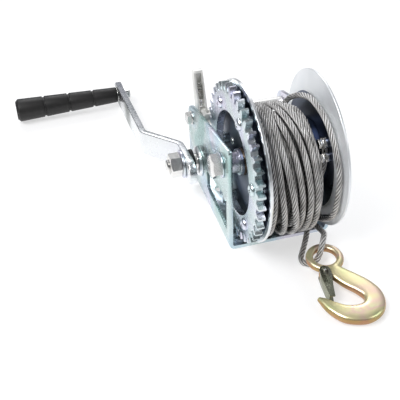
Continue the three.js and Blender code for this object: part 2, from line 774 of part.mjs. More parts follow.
// A flattened oval section, square to the line that the hook's body follows.
function hookRing(centre, along, half, thick) {
  const across = new THREE.Vector3(-along.y, along.x, 0).normalize();
  const ring = [];
  for (let step = 0; step < 12; step += 1) {
    const angle = (2 * Math.PI * step) / 12;
    const u = half * Math.sign(Math.cos(angle)) * Math.abs(Math.cos(angle)) ** 0.8;
    const v = thick * Math.sign(Math.sin(angle)) * Math.abs(Math.sin(angle)) ** 0.8;
    ring.push(centre.clone().addScaledVector(across, u).add(new THREE.Vector3(0, 0, v)));
  }
  return ring;
}

function hook() {
  const eye = new THREE.TorusGeometry(EYE_RADIUS, EYE_WIRE_RADIUS, 8, 24);
  const lug = rod(-2.9, 2.9, 4.2, 16).rotateY(Math.PI / 2).translate(LATCH_PIVOT.x, LATCH_PIVOT.y, 0);
  const pinHole = rod(-9, 9, 1.5, 10).rotateY(Math.PI / 2).translate(LATCH_PIVOT.x, LATCH_PIVOT.y, 0);
  return cut(join(hookBody(), eye, lug), pinHole);
}

const LATCH_LENGTH = 27.4;
const LATCH_SHEET = 1.2;
const LATCH_HALF_HEIGHT = 4.9;

// Folded sheet: two cheeks over the hook's lug, joined by a wall on the outer side.
function latch() {
  const outline = new THREE.Shape([
    [-4.4, 0],
    [-4.2, -8],
    [-2.8, -LATCH_LENGTH],
    [1.4, -LATCH_LENGTH],
    [2.6, -16],
    [4.4, -6],
    [4.4, 0],
    [3.1, 3.1],
    [0, 4.4],
    [-3.1, 3.1],
  ].map(([x, y]) => new THREE.Vector2(x, y)));
  const full = new THREE.ExtrudeGeometry(outline, { depth: 2 * LATCH_HALF_HEIGHT, bevelEnabled: false })
    .translate(0, 0, -LATCH_HALF_HEIGHT);
  const inner = LATCH_HALF_HEIGHT - LATCH_SHEET;
  const room = new THREE.BoxGeometry(20, 44, 2 * inner).translate(10 - 2.9 + LATCH_SHEET, -10, 0);
  const lugRoom = rod(-inner, inner, 5.2, 16).rotateY(Math.PI / 2);
  const pinHole = rod(-9, 9, 1.5, 10).rotateY(Math.PI / 2);
  return cut(full, room, lugRoom, pinHole);
}

function addHook() {
  const holder = new THREE.Group();
  holder.position.set(HOOK_EYE.x, HOOK_EYE.y, HOOK_EYE.z);
  holder.rotation.x = HOOK_TILT;
  winch.add(holder);
  addPart("hook", hook(), yellowZinc, holder);
  const latchHolder = new THREE.Group();
  latchHolder.position.set(LATCH_PIVOT.x, LATCH_PIVOT.y, 0);
  latchHolder.rotation.z = THREE.MathUtils.degToRad(-9);
  holder.add(latchHolder);
  addPart("hook_latch", latch(), oliveZinc, latchHolder);
  const pin = rod(-LATCH_HALF_HEIGHT - 0.5, LATCH_HALF_HEIGHT + 0.5, 1.2, 10).rotateY(Math.PI / 2);
  addPart("latch_pin", pin, nickel, latchHolder);
}

addFrame();
addAxle();
addDrum();
addCrankBushes();
addCrank();
addRatchet();
addRopeTail();
addHook();

export default group;
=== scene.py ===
"""Looks of the boat trailer hand winch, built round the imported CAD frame.

Lengths in the shape code are millimetres from the corner of the winch's own frame, as in the CAD
source: x runs to the right along the axle, y to the rear and z up. at() turns them into metres in
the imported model's frame.
"""

import math

import bmesh
import bpy
import numpy as np
from mathutils import Matrix, Vector
from mathutils.geometry import tessellate_polygon


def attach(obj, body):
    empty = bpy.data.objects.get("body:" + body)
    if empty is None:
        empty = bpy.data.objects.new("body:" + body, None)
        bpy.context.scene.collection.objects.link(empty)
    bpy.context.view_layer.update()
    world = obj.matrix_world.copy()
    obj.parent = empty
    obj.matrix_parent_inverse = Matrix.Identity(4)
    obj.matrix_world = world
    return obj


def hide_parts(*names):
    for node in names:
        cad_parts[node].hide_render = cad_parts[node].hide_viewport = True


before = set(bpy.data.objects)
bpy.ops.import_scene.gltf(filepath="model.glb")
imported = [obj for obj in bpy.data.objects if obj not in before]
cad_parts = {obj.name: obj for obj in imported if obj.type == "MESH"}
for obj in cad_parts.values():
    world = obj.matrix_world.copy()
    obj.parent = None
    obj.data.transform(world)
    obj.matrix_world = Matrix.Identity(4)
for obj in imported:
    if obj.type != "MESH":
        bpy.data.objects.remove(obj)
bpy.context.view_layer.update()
scene = bpy.context.scene

MM = 0.001
CORNER = Vector((43.0, 48.5, 0.0))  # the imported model's origin, from the winch's corner
WELD_DISTANCE = 2e-6  # metres

# The (y, z) of the axes that run across the winch.
AXLE = (21.0, 70.0)
CRANK = (87.5, 31.6)
PIVOT = (108.0, 64.0)

FRAME_WIDTH = 86.0
SHEET = 3.0
ROPE_DIAMETER = 4.8
HOOK_EYE = Vector((64.6, -42.5, 8.9))
HOOK_TILT = math.radians(4)

# The crank arm: from the shaft to the grip's bolt, and how far its two round ends' centres lie
# before the shaft and past the grip's bolt.
ARM_DROOP = math.radians(6.1)
ARM_REACH = 175.0
ARM_WIDTH = 22.5
ARM_THICKNESS = 6.0
ARM_FRONT = 15.5
ARM_TIP = 4.0

MODULE = 3.0
PRESSURE_ANGLE = math.radians(20)
GEAR_TEETH = 41
PINION_TEETH = 10

# Radii of the bolts and of the holes of the loose parts on them.
AXLE_BOLT = 6.0
AXLE_HOLE = 6.5
SHAFT = 7.0
SHAFT_HOLE = 7.3
GRIP_BOLT = 4.0
TIE_BOLT = 3.0


def at(x, y, z):
    return (Vector((x, y, z)) - CORNER) * MM


# ---- Camera
def add_camera():
    azimuth, elevation, roll = math.radians(14.45), math.radians(36.65), math.radians(-2.19)
    forward = Vector((
        math.sin(azimuth) * math.cos(elevation),
        math.cos(azimuth) * math.cos(elevation),
        -math.sin(elevation),
    ))
    level = Vector((math.cos(azimuth), -math.sin(azimuth), 0.0))
    up = level.cross(forward)
    right = math.cos(roll) * level + math.sin(roll) * up
    top = -math.sin(roll) * level + math.cos(roll) * up
    data = bpy.data.cameras.new("camera")
    data.sensor_width = 36.0
    data.lens = 72.23
    camera = bpy.data.objects.new("camera", data)
    basis = Matrix((right, top, -forward)).transposed().to_4x4()
    camera.matrix_world = Matrix.Translation(at(-146.8, -478.8, 424.0)) @ basis
    scene.collection.objects.link(camera)
    scene.camera = camera


add_camera()


# ---- Materials
WHITE = (1.0, 1.0, 1.0)


def link(tree, source, target):
    tree.links.new(source, target)


def noise_node(tree, coordinates, scale, detail=3.0, rough=0.5, distortion=0.0):
    node = tree.nodes.new("ShaderNodeTexNoise")
    node.inputs["Scale"].default_value = scale
    node.inputs["Detail"].default_value = detail
    node.inputs["Roughness"].default_value = rough
    node.inputs["Distortion"].default_value = distortion
    link(tree, coordinates, node.inputs["Vector"])
    return node


def ramp_node(tree, factor, stops):
    node = tree.nodes.new("ShaderNodeValToRGB")
    elements = node.color_ramp.elements
    while len(elements) < len(stops):
        elements.new(0.5)
    for element, (position, colour) in zip(elements, stops):
        element.position = position
        element.color = (*colour, 1.0)
    link(tree, factor, node.inputs["Fac"])
    return node


def range_node(tree, value, low, high, from_low=0.3, from_high=0.7):
    node = tree.nodes.new("ShaderNodeMapRange")
    node.inputs["From Min"].default_value = from_low
    node.inputs["From Max"].default_value = from_high
    node.inputs["To Min"].default_value = low
    node.inputs["To Max"].default_value = high
    link(tree, value, node.inputs["Value"])
    return node


def bump_node(tree, height, strength, distance, below=None):
    node = tree.nodes.new("ShaderNodeBump")
    node.inputs["Strength"].default_value = strength
    node.inputs["Distance"].default_value = distance
    link(tree, height, node.inputs["Height"])
    if below is not None:
        link(tree, below.outputs["Normal"], node.inputs["Normal"])
    return node


def multiplied(tree, first, second, share=1.0):
    """first times second, as strongly as share says, a number or a socket."""
    node = tree.nodes.new("ShaderNodeMix")
    node.data_type = "RGBA"
    node.blend_type = "MULTIPLY"
    link(tree, first, node.inputs["A"])
    link(tree, second, node.inputs["B"])
    if isinstance(share, float):
        node.inputs["Factor"].default_value = share
    else:
        link(tree, share, node.inputs["Factor"])
    return node.outputs["Result"]


def new_material(name, metallic=0.0):
    made = bpy.data.materials.new(name)
    made.use_nodes = True
    tree = made.node_tree
    shader = tree.nodes["Principled BSDF"]
    shader.inputs["Metallic"].default_value = metallic
    return made, tree, shader


def surface(name, stops, patch=22.0, roughness=(0.25, 0.31), metallic=1.0, grain=900.0,
            grain_depth=0.000003, wave=60.0, wave_depth=0.00005, side=None, reflection_bands=()):
    """A material whose colour drifts through stops in patches, with a grain and a slight ripple.

    patch, grain and wave are noise scales, and the depths are metres. side is the darker colour of
    the faces that don't look up, a painted shade. The painted reflections lie over (start, end)
    shares of the piece's length in y, dark on an upright face looking left.
    """
    made, tree, shader = new_material(name, metallic)
    coordinates = tree.nodes.new("ShaderNodeTexCoord").outputs["Object"]
    patches = noise_node(tree, coordinates, patch, 2.0, 0.45, 0.6)
    colour = ramp_node(tree, patches.outputs["Fac"], stops).outputs["Color"]
    if side or reflection_bands:
        facing = tree.nodes.new("ShaderNodeSeparateXYZ")
        link(tree, tree.nodes.new("ShaderNodeTexCoord").outputs["Normal"], facing.inputs["Vector"])
    # Painted shade: faces that look less upward take the darker side colour.
    if side:
        side_shade = ramp_node(tree, facing.outputs["Z"], [(0.25, side), (0.75, WHITE)])
        colour = multiplied(tree, colour, side_shade.outputs["Color"])
    # Painted reflections: dark stretches across upright faces looking left.
    for start, end in reflection_bands:
        place = tree.nodes.new("ShaderNodeSeparateXYZ")
        whole = tree.nodes.new("ShaderNodeTexCoord").outputs["Generated"]
        link(tree, whole, place.inputs["Vector"])
        run = range_node(tree, place.outputs["Y"], 0.0, 1.0, start, end)
        painted_reflection = ramp_node(tree, run.outputs["Result"], [
            (0.0, WHITE), (0.3, (0.22, 0.24, 0.23)), (0.6, (0.20, 0.22, 0.21)), (1.0, WHITE)])
        left = range_node(tree, facing.outputs["X"], 1.0, 0.0, -0.95, -0.7)
        colour = multiplied(tree, colour, painted_reflection.outputs["Color"], left.outputs["Result"])
    link(tree, colour, shader.inputs["Base Color"])
    smears = noise_node(tree, coordinates, patch * 9, 4.0, 0.6)
    rough = range_node(tree, smears.outputs["Fac"], *roughness)
    link(tree, rough.outputs["Result"], shader.inputs["Roughness"])
    fine = noise_node(tree, coordinates, grain, 2.0)
    first = bump_node(tree, fine.outputs["Fac"], 0.6, grain_depth)
    ripple = noise_node(tree, coordinates, wave, 1.0)
    second = bump_node(tree, ripple.outputs["Fac"], 0.5, wave_depth, first)
    link(tree, second.outputs["Normal"], shader.inputs["Normal"])
    return made


ZINC = surface("zinc_plate", [
    (0.32, (0.60, 0.72, 0.74)),
    (0.44, (0.76, 0.82, 0.84)),
    (0.54, (0.72, 0.74, 0.85)),
    (0.62, (0.78, 0.75, 0.86)),
    (0.70, (0.65, 0.78, 0.83)),
])
PLATE_ZINC = surface("zinc_plate_green", [
    (0.34, (0.42, 0.60, 0.58)),
    (0.46, (0.62, 0.72, 0.72)),
    (0.56, (0.52, 0.66, 0.74)),
    (0.68, (0.72, 0.70, 0.80)),
], patch=16.0)
PALE_ZINC = surface("zinc_plate_pale", [
    (0.35, (0.80, 0.84, 0.86)),
    (0.50, (0.92, 0.93, 0.94)),
    (0.65, (0.85, 0.86, 0.92)),
], patch=12.0, roughness=(0.26, 0.36))
# The arm's two dark stretches on its face looking left are painted reflections of dark
# surroundings.
ARM_ZINC = surface("zinc_plate_arm", [
    (0.35, (0.78, 0.81, 0.83)),
    (0.50, (0.88, 0.90, 0.91)),
    (0.65, (0.82, 0.83, 0.88)),
], patch=12.0, roughness=(0.24, 0.30), wave_depth=0.00002,
    reflection_bands=[(0.58, 0.77), (0.83, 1.02)])
FLANGE_ZINC = surface("zinc_plate_satin", [
    (0.35, (0.80, 0.84, 0.86)),
    (0.50, (0.92, 0.94, 0.96)),
    (0.65, (0.86, 0.89, 0.92)),
], patch=12.0, metallic=0.65, roughness=(0.34, 0.46))
LEVER_ZINC = surface("zinc_plate_light", [
    (0.35, (0.80, 0.80, 0.77)),
    (0.65, (0.93, 0.93, 0.90)),
], patch=60.0, metallic=0.55, roughness=(0.3, 0.42))
# Painted shade and dark reflection: zinc drawn near black where it lies in the winch's shade and
# mirrors its dark inside.
SHADED_ZINC = surface("zinc_plate_painted_shade", [
    (0.35, (0.06, 0.08, 0.12)),
    (0.50, (0.09, 0.11, 0.17)),
    (0.65, (0.07, 0.10, 0.14)),
], patch=8.0, roughness=(0.27, 0.32), wave_depth=0.00002)
BRIGHT = surface("bright_fasteners", [
    (0.35, (0.76, 0.75, 0.73)),
    (0.50, (0.88, 0.87, 0.85)),
    (0.65, (0.82, 0.82, 0.81)),
], patch=40.0, roughness=(0.2, 0.26), wave=120.0, wave_depth=0.00003)
BLACK_STEEL = surface("black_steel", [
    (0.40, (0.012, 0.012, 0.014)),
    (0.60, (0.035, 0.035, 0.038)),
], metallic=0.6, roughness=(0.35, 0.5))
BRONZE = surface("bronze", [(0.4, (0.13, 0.10, 0.08)), (0.6, (0.22, 0.17, 0.13))])
SPRING = surface("spring_steel", [(0.4, (0.30, 0.30, 0.30)), (0.6, (0.50, 0.49, 0.47))])
# The hook's yellow zinc, with a darker colour on its sides and underside as painted shade.
YELLOW = surface("yellow_zinc", [
    (0.30, (0.76, 0.82, 0.44)),
    (0.42, (0.92, 0.84, 0.48)),
    (0.52, (0.95, 0.84, 0.52)),
    (0.60, (0.96, 0.72, 0.58)),
    (0.70, (0.92, 0.88, 0.54)),
], patch=38.0, metallic=0.8, roughness=(0.3, 0.38), grain_depth=0.000002, wave=70.0,
    wave_depth=0.0001, side=(0.50, 0.36, 0.25))
OLIVE = surface("olive_zinc", [
    (0.35, (0.20, 0.21, 0.15)),
    (0.50, (0.34, 0.35, 0.26)),
    (0.65, (0.28, 0.27, 0.22)),
], patch=70.0, roughness=(0.2, 0.32))
GRIP = surface("grip_plastic", [
    (0.40, (0.006, 0.006, 0.006)),
    (0.60, (0.012, 0.011, 0.011)),
], metallic=0.0, roughness=(0.42, 0.55), grain=1500.0, grain_depth=0.00004)


# The vertex colour layer that paints shade into the rope's valleys.
VALLEY_SHADE = "valley"


def wire_material(name, light):
    """Galvanised rope: thin wires run along each strand, and the valleys carry painted shade.

    light is the brightness of the whole rope, from 0 to 1; below 1 it is painted shade.
    """
    made, tree, shader = new_material(name, 0.7)
    coordinates = tree.nodes.new("ShaderNodeTexCoord")
    wires = tree.nodes.new("ShaderNodeTexWave")
    wires.wave_type = "BANDS"
    wires.bands_direction = "X"
    wires.inputs["Scale"].default_value = 12.0
    wires.inputs["Distortion"].default_value = 0.4
    wires.inputs["Detail"].default_value = 1.0
    link(tree, coordinates.outputs["UV"], wires.inputs["Vector"])
    stains = noise_node(tree, coordinates.outputs["Object"], 70.0, 4.0, 0.6)
    colours = ramp_node(tree, stains.outputs["Fac"], [
        (0.32, (0.52 * light, 0.505 * light, 0.495 * light)),
        (0.50, (0.84 * light, 0.825 * light, 0.81 * light)),
        (0.66, (1.0 * light, 0.99 * light, 0.98 * light)),
    ])
    shade = ramp_node(tree, wires.outputs["Fac"], [(0.0, (0.45,) * 3), (0.6, WHITE)])
    lined = multiplied(tree, colours.outputs["Color"], shade.outputs["Color"], 0.45)
    # Painted shade from the vertex colours darkens the valleys.
    depth = tree.nodes.new("ShaderNodeVertexColor")
    depth.layer_name = VALLEY_SHADE
    hollow = multiplied(tree, lined, depth.outputs["Color"])
    link(tree, hollow, shader.inputs["Base Color"])
    rough = range_node(tree, stains.outputs["Fac"], 0.34, 0.5)
    link(tree, rough.outputs["Result"], shader.inputs["Roughness"])
    bump = bump_node(tree, wires.outputs["Fac"], 0.6, 0.00012)
    link(tree, bump.outputs["Normal"], shader.inputs["Normal"])
    return made


WIRE = wire_material("wire_rope", 1.0)
# The rope's layer below the top turns: the same rope darkened to about a quarter, as painted shade.
WIRE_UNDER_SHADED = wire_material("wire_rope_under_painted_shade", 0.28)
WIRE_SHADE = surface("wire_rope_shade", [
    (0.4, (0.07, 0.065, 0.06)),
    (0.6, (0.13, 0.12, 0.11)),
], patch=120.0, metallic=0.6, roughness=(0.5, 0.6))


# ---- Mesh helpers
def piece(name, shape, material, body, replaces=(), sharp=35.0):
    """A mesh object from (vertices in mm, faces), riding on a body and standing for CAD nodes."""
    vertices, faces = shape
    mesh = bpy.data.meshes.new(name)
    mesh.from_pydata([at(*v) for v in vertices], [], faces)
    work = bmesh.new()
    work.from_mesh(mesh)
    bmesh.ops.remove_doubles(work, verts=work.verts, dist=WELD_DISTANCE)
    bmesh.ops.recalc_face_normals(work, faces=work.faces)
    work.to_mesh(mesh)
    work.free()
    return dress(name, mesh, material, body, replaces, sharp)


def dress(name, mesh, material, body, replaces=(), sharp=35.0):
    """An object from a finished mesh; edges that turn by more than sharp degrees stay crisp."""
    mesh.materials.clear()
    mesh.materials.append(material)
    mesh.polygons.foreach_set("use_smooth", [True] * len(mesh.polygons))
    mesh.set_sharp_from_angle(angle=math.radians(sharp))
    made = bpy.data.objects.new(name, mesh)
    scene.collection.objects.link(made)
    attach(made, body)
    if replaces:
        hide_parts(*replaces)
    return made


def baked(source):
    """The mesh of an object with its modifiers applied; the object itself goes."""
    graph = bpy.context.evaluated_depsgraph_get()
    mesh = bpy.data.meshes.new_from_object(source.evaluated_get(graph))
    bpy.data.objects.remove(source)
    return mesh


def refined(node, width, material, body):
    """A CAD node's shape with its edges rounded over width, standing for the node."""
    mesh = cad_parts[node].data.copy()
    work = bmesh.new()
    work.from_mesh(mesh)
    bmesh.ops.remove_doubles(work, verts=work.verts, dist=WELD_DISTANCE)
    bmesh.ops.dissolve_limit(
        work, angle_limit=math.radians(1.5), verts=work.verts, edges=work.edges,
    )
    work.to_mesh(mesh)
    work.free()
    holder = bpy.data.objects.new(node + "_work", mesh)
    scene.collection.objects.link(holder)
    bevel = holder.modifiers.new("edges", "BEVEL")
    bevel.width = width * MM
    bevel.segments = 2
    bevel.limit_method = "ANGLE"
    bevel.angle_limit = math.radians(40)
    bevel.harden_normals = False
    return dress(node + "_fine", baked(holder), material, body, [node])


def loft(rings, closed=False):
    """Faces over rings of points that all have the same count, closed on itself or capped."""
    size = len(rings[0])
    vertices = [point for ring in rings for point in ring]
    faces = []
    count = len(rings)
    for ring in range(count if closed else count - 1):
        here, there = ring * size, ((ring + 1) % count) * size
        for step in range(size):
            following = (step + 1) % size
            faces.append((here + step, here + following, there + following, there + step))
    if not closed:
        faces.append(tuple(range(size - 1, -1, -1)))
        faces.append(tuple((count - 1) * size + step for step in range(size)))
    return vertices, faces


def circle_points(count):
    """The (cosine, sine) of each of count even steps round a circle."""
    return [(math.cos(2 * math.pi * k / count), math.sin(2 * math.pi * k / count))
            for k in range(count)]


def squared(value, power):
    """A cosine or sine pushed outwards, so that a circle of them becomes a rounded square."""
    return math.copysign(abs(value) ** power, value)


def turned(profile, centre, segments=64):
    """A closed profile of (x, radius) turned about the X direction through centre (y, z)."""
    cy, cz = centre
    return loft([[(x, cy + r * c, cz + r * s) for c, s in circle_points(segments)]
                 for x, r in profile], closed=True)


def rounded(corners, steps=4):
    """A closed outline through (a, b, radius) corners, each rounded to its own radius."""
    points = []
    for index, (a, b, radius) in enumerate(corners):
        here = Vector((a, b))
        if radius <= 0:
            points.append((a, b))
            continue
        before = (Vector(corners[index - 1][:2]) - here).normalized()
        after = (Vector(corners[(index + 1) % len(corners)][:2]) - here).normalized()
        half = math.acos(max(-1.0, min(1.0, before.dot(after)))) / 2
        centre = here + (before + after).normalized() * (radius / math.sin(half))
        reach = radius / math.tan(half)
        start, end = here + before * reach - centre, here + after * reach - centre
        sweep = math.atan2(start.x * end.y - start.y * end.x, start.dot(end))
        for step in range(steps + 1):
            turn = sweep * step / steps
            c, s = math.cos(turn), math.sin(turn)
            points.append((
                centre.x + start.x * c - start.y * s,
                centre.y + start.x * s + start.y * c,
            ))
    return points


def collar(x0, x1, outer, inner, edge=0.4):
    """The profile of a washer or tube with softened edges."""
    return rounded([(x0, inner, edge * 0.6), (x0, outer, edge), (x1, outer, edge),
                    (x1, inner, edge * 0.6)], 3)


def inset(loop, distance):
    """The closed loop with every side moved to its own left by distance."""
    moved = []
    count = len(loop)
    for index in range(count):
        here = Vector(loop[index])
        into = (here - Vector(loop[index - 1])).normalized()
        out = (Vector(loop[(index + 1) % count]) - here).normalized()
        first, second = Vector((-into.y, into.x)), Vector((-out.y, out.x))
        shift = (first + second) / max(0.35, 1 + first.dot(second))
        moved.append(tuple(here + shift * distance))
    return moved


def plate(outer, holes, x0, x1, edge=0.4):
    """A flat plate from x0 to x1 with holes and chamfered edges; all loops anticlockwise in Y-Z."""
    vertices, faces = [], []
    low, high = [], []
    for loop, side in [(outer, 1)] + [(hole, -1) for hole in holes]:
        inner = inset(loop, side * edge)
        rows = [(x0, inner), (x0 + edge, loop), (x1 - edge, loop), (x1, inner)]
        start = len(vertices)
        size = len(loop)
        for x, row in rows:
            vertices.extend((x, y, z) for y, z in row)
        for ring in range(3):
            for step in range(size):
                a = start + ring * size + step
                b = start + ring * size + (step + 1) % size
                faces.append((a, b, b + size, a + size))
        low.append(range(start, start + size))
        high.append(range(start + 3 * size, start + 4 * size))
    for loops in (low, high):
        flat = [index for loop in loops for index in loop]
        outlines = [[Vector((*vertices[index][1:], 0)) for index in loop] for loop in loops]
        for triangle in tessellate_polygon(outlines):
            faces.append(tuple(flat[corner] for corner in triangle))
    return vertices, faces


def hexagon(face, back, flats, centre, bore=0.0, turn=0.0, both=False):
    """A hexagon head or nut from its outer face to its back, chamfered there or on both."""
    steps = 72
    bore_chamfer = 0.7
    chamfer_slope = 0.58  # the tangent of 30 degrees
    outward = 1 if back > face else -1
    crown = flats * 0.475
    cy, cz = centre

    def ring(x, radius):
        points = []
        for step in range(steps):
            a = 2 * math.pi * step / steps
            reach = radius(a) if callable(radius) else radius
            points.append((x(a) if callable(x) else x,
                           cy + reach * math.cos(a + turn), cz + reach * math.sin(a + turn)))
        return points

    def side(a):
        return flats / 2 / math.cos((a % (math.pi / 3)) - math.pi / 6)

    def drop(a):
        return outward * (side(a) - crown) * chamfer_slope

    rings = [ring(face + outward * bore_chamfer, bore),
             ring(face, bore + bore_chamfer if bore else 0.0),
             ring(face, crown), ring(lambda a: face + drop(a), side)]
    if both:
        rings += [ring(lambda a: back - drop(a), side), ring(back, crown)]
    else:
        rings += [ring(back, side)]
    rings += [ring(back, bore)]
    return loft(rings, closed=True)


def merged(*shapes):
    vertices, faces = [], []
    for some, more in shapes:
        start = len(vertices)
        vertices += list(some)
        faces += [tuple(index + start for index in face) for face in more]
    return vertices, faces


def turned_about(shape, centre, angle):
    """The shape turned by angle about the X direction through centre (y, z)."""
    cy, cz = centre
    c, s = math.cos(angle), math.sin(angle)
    return [(x, cy + (y - cy) * c - (z - cz) * s, cz + (y - cy) * s + (z - cz) * c)
            for x, y, z in shape[0]], shape[1]


def thread(x0, x1, radius, pitch):
    """Profile points of a screw thread, from x0 to x1."""
    count = max(1, int(abs(x1 - x0) / pitch))
    points = []
    for step in range(count):
        x = x0 + (x1 - x0) * step / count
        points += [(x, radius - pitch * 0.45), (x + (x1 - x0) / count / 2, radius)]
    return points


# ---- Wire rope
def resampled(points, step):
    """A smooth curve through the points, as points a step apart, and its length."""
    control = np.array(points, float)
    control = np.vstack([2 * control[0] - control[1], control, 2 * control[-1] - control[-2]])
    dense = []
    for index in range(1, len(control) - 2):
        p0, p1, p2, p3 = control[index - 1:index + 3]
        for t in np.arange(12) / 12:
            dense.append(0.5 * (2 * p1 + (p2 - p0) * t + (2 * p0 - 5 * p1 + 4 * p2 - p3) * t * t
                                + (3 * p1 - p0 - 3 * p2 + p3) * t ** 3))
    dense.append(control[-2])
    dense = np.array(dense)
    run = np.concatenate([[0], np.cumsum(np.linalg.norm(np.diff(dense, axis=0), axis=1))])
    wanted = np.linspace(0, run[-1], max(2, int(round(run[-1] / step)) + 1))
    return np.stack([np.interp(wanted, run, dense[:, axis]) for axis in range(3)], 1), run[-1]


def frames_along(line):
    """Each point of the line with two directions across it that don't spin round it."""
    tangents = np.gradient(line, axis=0)
    tangents /= np.linalg.norm(tangents, axis=1)[:, None]
    normal = np.cross(tangents[0], (0.3, 0.2, 0.9))
    for point, tangent in zip(line, tangents):
        normal = normal - tangent * (normal @ tangent)
        normal /= np.linalg.norm(normal)
        yield point, normal, np.cross(tangent, normal)


def stranded(points, step, around):
    """Rings of a rope along points, with around points to a strand.

    Also the turn and the run of each vertex in lays, how far out it stands, and the centre line.
    """
    strands = 6
    lay = 26.0
    valley = 0.66  # the valleys' radius, as a share of the rope's
    line, length = resampled(points, step)
    big = ROPE_DIAMETER / 2
    small = big / 3
    rings, turns, depths = [], [], []
    size = strands * around
    for index, (point, normal, side) in enumerate(frames_along(line)):
        twist = 2 * math.pi * index * length / (len(line) - 1) / lay
        ring = []
        for k in range(size):
            angle = 2 * math.pi * k / size
            off = (k % around) / around * math.pi / 3 - math.pi / 6
            lobe = 2 * small * math.cos(off)
            lobe += math.sqrt(max(0.0, small ** 2 - (2 * small * math.sin(off)) ** 2))
            radius = max(lobe, big * valley)
            direction = angle + twist
            ring.append(tuple(point + radius * (normal * math.cos(direction)
                                                + side * math.sin(direction))))
            turns.append((direction / (2 * math.pi), index * length / (len(line) - 1) / lay))
            depths.append((radius / big - valley) / (1 - valley))
        rings.append(ring)
    return rings, turns, depths, line


def rope_piece(name, points, step, body, replaces=(), around=6, paint=WIRE):
    """A length of rope through the points, and its centre line in metres."""
    rings, turns, depths, line = stranded(points, step, around)
    vertices, faces = loft(rings)
    mesh = bpy.data.meshes.new(name)
    mesh.from_pydata([at(*v) for v in vertices], [], faces)
    layer = mesh.uv_layers.new(name="UVMap")
    size = len(rings[0])
    for polygon in mesh.polygons:
        if len(polygon.vertices) != 4:  # an end cap
            continue
        seam = any(v % size == size - 1 for v in polygon.vertices) and any(
            v % size == 0 for v in polygon.vertices)
        for corner, vertex in zip(polygon.loop_indices, polygon.vertices):
            u, v = turns[vertex]
            if seam and vertex % size == 0:
                u += 1.0
            layer.data[corner].uv = (u, v)
    # Painted shade: the valleys between the strands darken down to darkest.
    colours = mesh.color_attributes.new(VALLEY_SHADE, "FLOAT_COLOR", "POINT")
    darkest = 0.05
    for index, depth in enumerate(depths):
        shade = darkest + (1 - darkest) * depth
        colours.data[index].color = (shade, shade, shade, 1.0)
    made = dress(name, mesh, paint, body, replaces, 70.0)
    return made, [at(*point) for point in line]


# The free end's route, as in the CAD: from under the drum, through the sleeve, round the hook's
# eye and back into the sleeve.
TAIL = [
    (65.8, 50, 25), (66.2, 44, 19.6), (67.6, 37.5, 14.2), (69.6, 31.5, 10.2), (71, 28, 8.1),
    (71.2, 25, 7.8),
]
SLEEVE = [(70.4, 18, 7.7), (69.4, 12, 7.6)]
EYE = [
    (69, 7.7, 7.4), (68, 3, 6.7), (65.4, -4, 6.2), (61.2, -12, 5.6), (56.4, -20, 4.8),
    (52.2, -26.4, 3.9), (49.6, -31.4, 3.1), (49.9, -36, 2.7), (53.4, -38.8, 2.6),
    (57.4, -38.8, 3.4), (61.2, -38, 6.8), (64.2, -35.7, 13), (67.8, -30.6, 17.2),
    (71.8, -23, 16.2), (74.3, -14.4, 12), (75.1, -6, 8.4), (74.4, 1, 7), (73.4, 7.7, 7.4),
    (73.2, 11, 7.6),
]


def add_rope_end():
    rope, path = rope_piece(
        "rope_end", TAIL + SLEEVE + EYE, 1.0, "frame", ["rope_tail", "rope_eye"])
    length = sum((b - a).length for a, b in zip(path, path[1:]))
    start = (71.2, 8.5, 7.8)
    half_width, half_height = 5.6, 3.7
    outline = [(0.0, 0.55), (0.6, 0.86), (1.6, 1.0), (4.0, 0.93), (5.6, 1.0), (8.5, 0.93),
               (11.4, 1.0), (13.0, 0.93), (15.4, 1.0), (16.4, 0.86), (17.0, 0.55)]
    rings = []
    for run, size in outline:
        rings.append([(start[0] + half_width * size * squared(c, 0.8), start[1] + run,
                       start[2] + half_height * size * squared(s, 0.8))
                      for c, s in circle_points(40)])
    sleeve = piece("rope_sleeve", loft(rings), BRIGHT, "frame",
                   ["rope_ferrule"], 60.0)
    tuple(path[0])


add_rope_end()


# Each turn of the wound rope: x at the top, the upper front, the front, the lower front and the
# bottom, and how high it rides, as its radius where the pack's own is 50.
OUTER_TURNS = [
    (23.0, 23.0, 23.0, 23.0, 23.2, 45.0),
    (28.5, 27.0, 26.0, 25.6, 29.0, 50.5),
    (30.0, 29.6, 31.0, 36.0, 41.5, 52.0),
    (34.0, 33.6, 39.0, 45.6, 48.0, 54.0),
    (34.0, 39.5, 43.0, 45.0, 47.5, 45.0),
    (38.0, 43.4, 47.6, 50.4, 51.5, 50.5),
    (43.0, 50.4, 54.0, 55.4, 55.6, 53.0),
    (50.5, 57.2, 60.4, 61.2, 61.0, 52.0),
    (57.0, 61.6, 62.4, 62.2, 61.0, 48.0),
    (61.5, 62.4, 61.4, 60.0, 58.0, 45.0),
]
TURN_ANGLES = (90.0, 135.0, 180.0, 215.0, 245.0)
BIN = 5  # degrees
PACK_X = (22.6, 62.4)
PACK_RADIUS = (29.6, 62.2)


def winding_targets():
    """The rope's wanted x and radius, one row per BIN degrees, for the top layer."""
    control = []
    for index, (*places, radius) in enumerate(OUTER_TURNS):
        for angle, x in zip(TURN_ANGLES, places):
            control.append((angle + 360 * index, x, radius))
    angles, xs, radii = map(np.array, zip(*control))
    wanted = np.arange(angles[0], angles[-1] + 1, BIN)
    x = np.interp(wanted, angles, xs)
    lift = np.interp(wanted, angles, radii) - 50
    for _ in range(4):
        x[1:-1] = (x[:-2] + 2 * x[1:-1] + x[2:]) / 4
    return wanted, x, sag(wanted) + lift * 0.8


